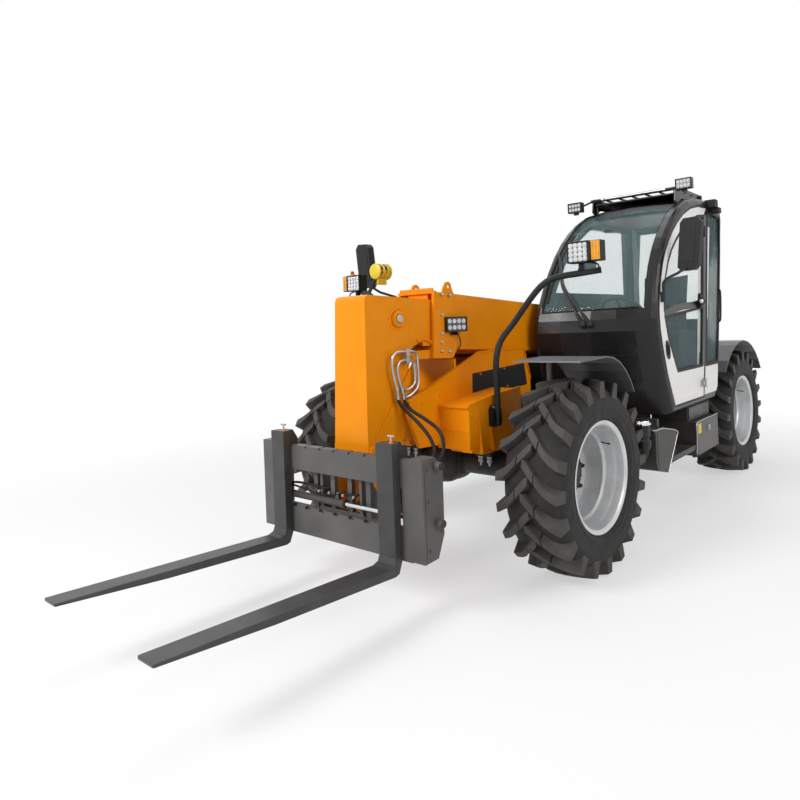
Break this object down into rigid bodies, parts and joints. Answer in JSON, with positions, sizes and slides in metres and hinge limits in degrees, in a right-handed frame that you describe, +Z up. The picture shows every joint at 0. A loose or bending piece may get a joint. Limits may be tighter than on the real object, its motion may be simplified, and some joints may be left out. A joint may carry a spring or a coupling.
{
  "type": "telehandler",
  "caption": "Rigid-frame telescopic handler: two-stage boom on the centreline with a fork carriage, cab on the left, engine pod on the right, four steered wheels.",
  "frame": {"origin": "bottom centre of the whole machine's box, on the ground", "axes": "+X to the machine's left, +Y to its rear, +Z up; the forks point along -Y"},
  "size_m": [2.81, 6.1318, 2.624],
  "materials": {
    "black_metal": "satin black paint",
    "black_plastic": "matt",
    "charcoal": "satin charcoal paint",
    "engine_paint": "painted casting",
    "fender_grey": "grey paint",
    "fork_steel": "dark painted steel",
    "orange": "gloss orange paint",
    "rim_paint": "silver paint",
    "rod_chrome": "hard chrome",
    "seat_fabric": "woven cloth",
    "tinted_glass": "light tint",
    "tyre_rubber": "moulded rubber",
    "white_metal": "satin off-white paint"
  },
  "bodies": {
    "machine": {"cab_left_rear_window": "tinted_glass", "cab_rear_window": "tinted_glass", "cab_right_window": "tinted_glass", "cab_shell": "black_metal", "cab_step": "charcoal", "counterweight": "charcoal", "dash": "black_plastic", "engine_bay": "black_metal", "engine_block": "engine_paint", "front_axle": "charcoal", "front_frame": "orange", "left_headlamp": "black_metal", "main_frame": "charcoal", "rear_axle": "charcoal", "rear_left_fender": "black_plastic", "rear_right_fender": "black_plastic", "right_headlamp": "black_metal", "right_mirror": "black_plastic", "seat_back": "seat_fabric", "seat_base": "black_plastic", "seat_cushion": "seat_fabric", "tool_box": "charcoal", "windscreen": "tinted_glass"},
    "boom": {"outer_boom": "orange"},
    "boom_extension": {"inner_boom": "orange", "tilt_hose_front": "black_plastic", "tilt_hose_rear": "black_plastic"},
    "fork_carriage": {"carriage": "charcoal"},
    "left_load_fork": {"left_fork": "fork_steel"},
    "right_load_fork": {"right_fork": "fork_steel"},
    "lift_barrel": {"lift_cylinder_barrel": "charcoal"},
    "lift_rod": {"lift_cylinder_rod": "rod_chrome"},
    "tilt_barrel": {"tilt_cylinder_barrel": "charcoal"},
    "tilt_rod": {"tilt_cylinder_rod": "rod_chrome"},
    "door": {"cab_door": "white_metal", "door_lower_glass": "tinted_glass", "door_upper_glass": "tinted_glass", "left_mirror": "black_plastic"},
    "hood": {"engine_hood": "orange"},
    "helm": {"steering_wheel": "black_plastic"},
    "front_left_steering_knuckle": {"front_left_knuckle": "charcoal", "front_left_fender": "fender_grey"},
    "front_left_wheel": {"front_left_tyre": "tyre_rubber", "front_left_rim": "rim_paint"},
    "front_right_steering_knuckle": {"front_right_knuckle": "charcoal"},
    "front_right_wheel": {"front_right_tyre": "tyre_rubber", "front_right_rim": "rim_paint"},
    "rear_left_steering_knuckle": {"rear_left_knuckle": "charcoal"},
    "rear_left_wheel": {"rear_left_tyre": "tyre_rubber", "rear_left_rim": "rim_paint"},
    "rear_right_steering_knuckle": {"rear_right_knuckle": "charcoal"},
    "rear_right_wheel": {"rear_right_tyre": "tyre_rubber", "rear_right_rim": "rim_paint"}
  },
  "joints": [
    {"name": "boom_lift", "type": "hinge", "parent": "machine", "child": "boom", "pos_m": [0, 2.41592, 1.37], "axis": [-1, 0, 0], "range_deg": [0, 65]},
    {"name": "boom_extend", "type": "slide", "parent": "boom", "child": "boom_extension", "axis": [0, -0.9977, 0.068], "range_m": [0, 2.85]},
    {"name": "carriage_tilt", "type": "hinge", "parent": "boom_extension", "child": "fork_carriage", "pos_m": [0, -1.63908, 0.44], "axis": [1, 0, 0], "range_deg": [-10, 78], "deforming": ["tilt_hose_front", "tilt_hose_rear"]},
    {"name": "left_fork_shift", "type": "slide", "parent": "fork_carriage", "child": "left_load_fork", "axis": [1, 0, 0], "range_m": [-0.2, 0.05]},
    {"name": "right_fork_shift", "type": "slide", "parent": "fork_carriage", "child": "right_load_fork", "axis": [-1, 0, 0], "range_m": [-0.2, 0.05]},
    {"name": "lift_barrel_swing", "type": "hinge", "parent": "machine", "child": "lift_barrel", "pos_m": [0, 1.96592, 0.64], "axis": [-1, 0, 0], "range_deg": [0, 52.97]},
    {"name": "lift_rod_slide", "type": "slide", "parent": "lift_barrel", "child": "lift_rod", "axis": [0, -0.8951, 0.4459], "range_m": [0, 0.8634]},
    {"name": "tilt_barrel_swing", "type": "hinge", "parent": "boom_extension", "child": "tilt_barrel", "pos_m": [0, -1.40808, 1.586], "axis": [-1, 0, 0], "range_deg": [-0.7, 5.4]},
    {"name": "tilt_rod_slide", "type": "slide", "parent": "tilt_barrel", "child": "tilt_rod", "axis": [0, -0.0473, -0.9989], "range_m": [-0.21, 0.03]},
    {"name": "front_left_steer", "type": "hinge", "parent": "machine", "child": "front_left_steering_knuckle", "pos_m": [0.74, -0.73408, 0.5885], "axis": [0, 0, 1], "range_deg": [-30, 30]},
    {"name": "front_left_roll", "type": "hinge", "parent": "front_left_steering_knuckle", "child": "front_left_wheel", "pos_m": [0.955, -0.73408, 0.5885], "axis": [1, 0, 0], "continuous": true},
    {"name": "front_right_steer", "type": "hinge", "parent": "machine", "child": "front_right_steering_knuckle", "pos_m": [-0.74, -0.73408, 0.5885], "axis": [0, 0, 1], "range_deg": [-30, 30]},
    {"name": "front_right_roll", "type": "hinge", "parent": "front_right_steering_knuckle", "child": "front_right_wheel", "pos_m": [-0.955, -0.73408, 0.5885], "axis": [1, 0, 0], "continuous": true},
    {"name": "rear_left_steer", "type": "hinge", "parent": "machine", "child": "rear_left_steering_knuckle", "pos_m": [0.74, 2.21592, 0.5885], "axis": [0, 0, 1], "range_deg": [-30, 30]},
    {"name": "rear_left_roll", "type": "hinge", "parent": "rear_left_steering_knuckle", "child": "rear_left_wheel", "pos_m": [0.955, 2.21592, 0.5885], "axis": [1, 0, 0], "continuous": true},
    {"name": "rear_right_steer", "type": "hinge", "parent": "machine", "child": "rear_right_steering_knuckle", "pos_m": [-0.74, 2.21592, 0.5885], "axis": [0, 0, 1], "range_deg": [-30, 30]},
    {"name": "rear_right_roll", "type": "hinge", "parent": "rear_right_steering_knuckle", "child": "rear_right_wheel", "pos_m": [-0.955, 2.21592, 0.5885], "axis": [1, 0, 0], "continuous": true},
    {"name": "door_swing", "type": "hinge", "parent": "machine", "child": "door", "pos_m": [1.135, 1.36592, 1.5], "axis": [0, 0, 1], "range_deg": [0, 85]},
    {"name": "hood_lift", "type": "hinge", "parent": "machine", "child": "hood", "pos_m": [-0.3103, 0.76592, 1.56], "axis": [0, 1, 0], "range_deg": [0, 70]},
    {"name": "helm_turn", "type": "hinge", "parent": "machine", "child": "helm", "pos_m": [0.69, 0.55592, 1.56], "axis": [0, 0.6829, 0.7305], "range_deg": [-450, 450]}
  ],
  "couplings": [
    {"joint": "lift_barrel_swing", "follows": "boom_lift", "ratio": 0.8149},
    {"joint": "lift_rod_slide", "follows": "boom_lift", "m_per_rad": 0.761},
    {"joint": "tilt_barrel_swing", "follows": "carriage_tilt", "ratio": 0.068},
    {"joint": "tilt_rod_slide", "follows": "carriage_tilt", "m_per_rad": -0.152},
    {"joint": "front_right_steer", "follows": "front_left_steer", "ratio": 1},
    {"joint": "rear_right_steer", "follows": "rear_left_steer", "ratio": 1}
  ]
}
